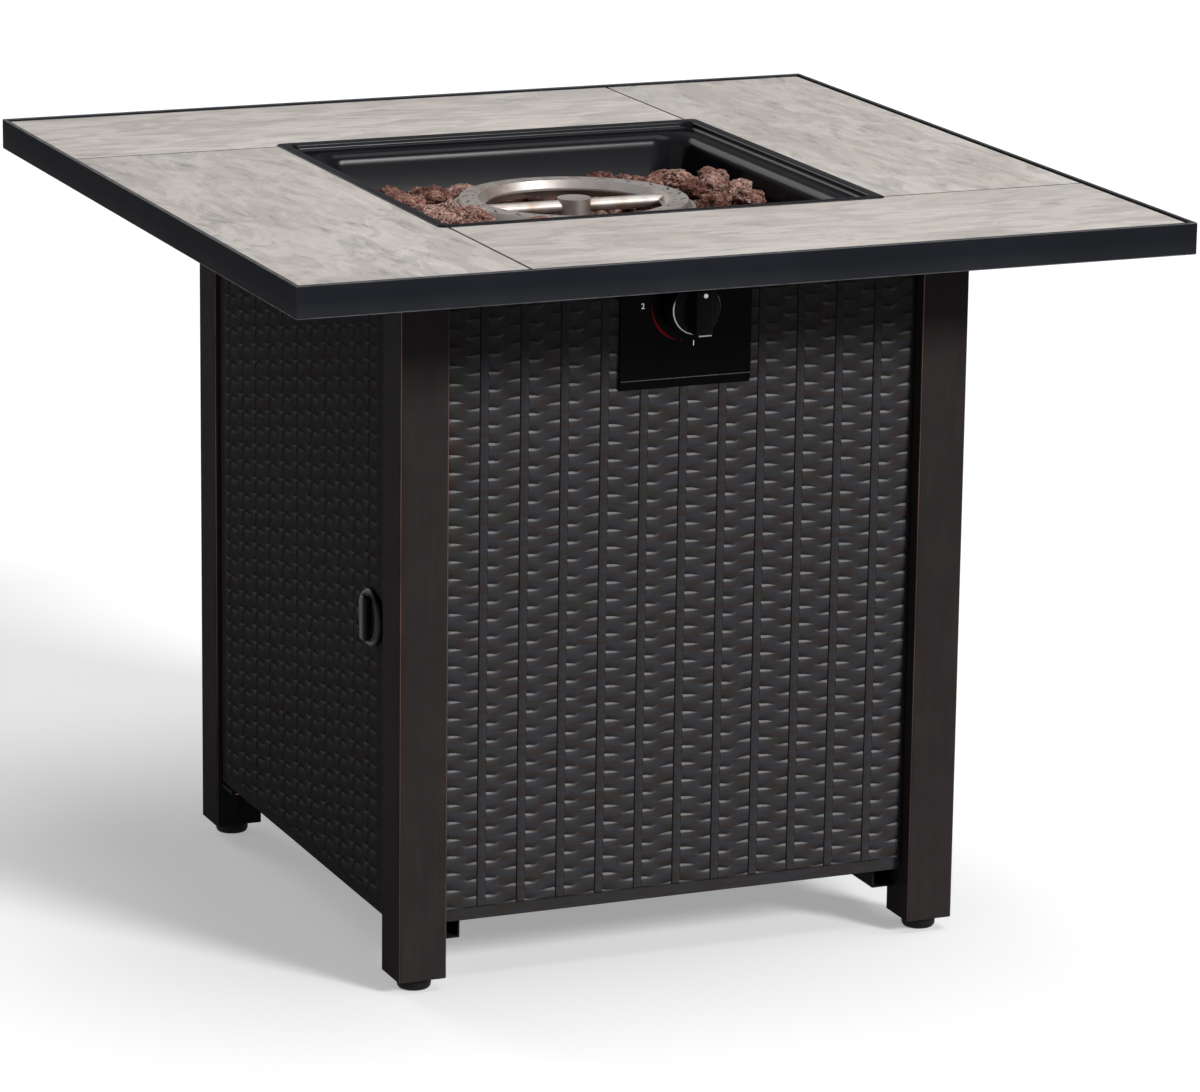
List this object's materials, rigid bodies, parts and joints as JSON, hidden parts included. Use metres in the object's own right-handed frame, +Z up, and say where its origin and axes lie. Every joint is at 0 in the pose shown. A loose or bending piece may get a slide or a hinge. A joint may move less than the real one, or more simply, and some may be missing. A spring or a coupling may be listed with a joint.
{
  "type": "fire pit table",
  "caption": "Square gas fire pit table: plank-tiled top with a sunken burner pan and lava rocks on a woven-look steel cabinet with tank door, push-turn knob and levelling feet.",
  "frame": {"origin": "on the floor, at the middle of the four feet", "axes": "+Z up, -Y towards the control panel, -X towards the tank door"},
  "size_m": [0.8128, 0.8128, 0.6608],
  "materials": {
    "band_paint": "satin",
    "frame_paint": "satin",
    "weave_paint": "satin",
    "hidden_steel": "satin",
    "pan_enamel": "satin",
    "control_black": "satin",
    "tile_ceramic": "matt",
    "burner_steel": "brushed",
    "cast_alloy": "as cast",
    "bare_zinc": "satin",
    "brass": "satin",
    "copper_pin": "satin",
    "igniter_ceramic": "matt",
    "lava_stone": "rough",
    "knob_plastic": "satin",
    "latch_plastic": "satin",
    "plug_plastic": "matt",
    "foot_rubber": "matt",
    "trim_chrome": "polished",
    "pointer_white": "gloss"
  },
  "bodies": {
    "table": {"edge_rail_front": "band_paint", "tile_front": "tile_ceramic", "upper_rail_front": "hidden_steel", "edge_rail_right": "band_paint", "tile_right": "tile_ceramic", "upper_rail_right": "hidden_steel", "edge_rail_back": "band_paint", "tile_back": "tile_ceramic", "upper_rail_back": "hidden_steel", "edge_rail_left": "band_paint", "tile_left": "tile_ceramic", "upper_rail_left": "hidden_steel", "leg_front_left": "frame_paint", "leg_plug_front_left": "plug_plastic", "leg_front_right": "frame_paint", "leg_plug_front_right": "plug_plastic", "leg_back_left": "frame_paint", "leg_plug_back_left": "plug_plastic", "leg_back_right": "frame_paint", "leg_plug_back_right": "plug_plastic", "top_tray": "hidden_steel", "burner_pan": "pan_enamel", "burner_ring": "burner_steel", "burner_locknut": "brass", "mixing_tube": "cast_alloy", "gas_tube": "cast_alloy", "igniter_bracket": "bare_zinc", "igniter_rod": "igniter_ceramic", "flame_probe": "copper_pin", "lava_rocks": "lava_stone", "lower_channel_left": "hidden_steel", "lower_channel_right": "hidden_steel", "bottom_shelf": "hidden_steel", "front_panel": "weave_paint", "right_panel": "weave_paint", "back_panel": "weave_paint", "pivot_plate_upper": "hidden_steel", "pivot_plate_lower": "hidden_steel", "latch_strike": "hidden_steel", "control_panel": "control_black", "valve_bracket": "hidden_steel", "gas_valve": "cast_alloy"},
    "door": {"door_panel": "weave_paint", "door_pivot_pins": "copper_pin", "latch_bezel": "latch_plastic"},
    "door_latch": {"latch_knob": "latch_plastic", "latch_cam": "bare_zinc"},
    "valve_plunger": {"stem_collar": "brass"},
    "control_knob": {"control_knob": "knob_plastic", "valve_stem": "brass", "knob_trim": "trim_chrome", "knob_pointer": "pointer_white"},
    "levelling_foot_front_left": {"foot_front_left": "foot_rubber"},
    "levelling_foot_front_right": {"foot_front_right": "foot_rubber"},
    "levelling_foot_back_left": {"foot_back_left": "foot_rubber"},
    "levelling_foot_back_right": {"foot_back_right": "foot_rubber"}
  },
  "joints": [
    {"name": "door_hinge", "type": "hinge", "parent": "table", "child": "door", "pos_m": [-0.2515, 0.1965, 0.33], "axis": [0, 0, -1], "range_deg": [0, 110]},
    {"name": "latch_turn", "type": "hinge", "parent": "door", "child": "door_latch", "pos_m": [-0.2615, -0.19, 0.319], "axis": [-1, 0, 0], "range_deg": [0, 90]},
    {"name": "knob_push", "type": "slide", "parent": "table", "child": "valve_plunger", "axis": [0, 1, 0], "range_m": [0, 0.004], "stiffness_N_per_m": 900, "springref_m": -0.003},
    {"name": "knob_turn", "type": "hinge", "parent": "valve_plunger", "child": "control_knob", "pos_m": [0, -0.258, 0.587], "axis": [0, -1, 0], "range_deg": [0, 180]},
    {"name": "foot_screw_front_left", "type": "slide", "parent": "table", "child": "levelling_foot_front_left", "axis": [0, 0, 1], "range_m": [-0.01, 0]},
    {"name": "foot_screw_front_right", "type": "slide", "parent": "table", "child": "levelling_foot_front_right", "axis": [0, 0, 1], "range_m": [-0.01, 0]},
    {"name": "foot_screw_back_left", "type": "slide", "parent": "table", "child": "levelling_foot_back_left", "axis": [0, 0, 1], "range_m": [-0.01, 0]},
    {"name": "foot_screw_back_right", "type": "slide", "parent": "table", "child": "levelling_foot_back_right", "axis": [0, 0, 1], "range_m": [-0.01, 0]}
  ]
}
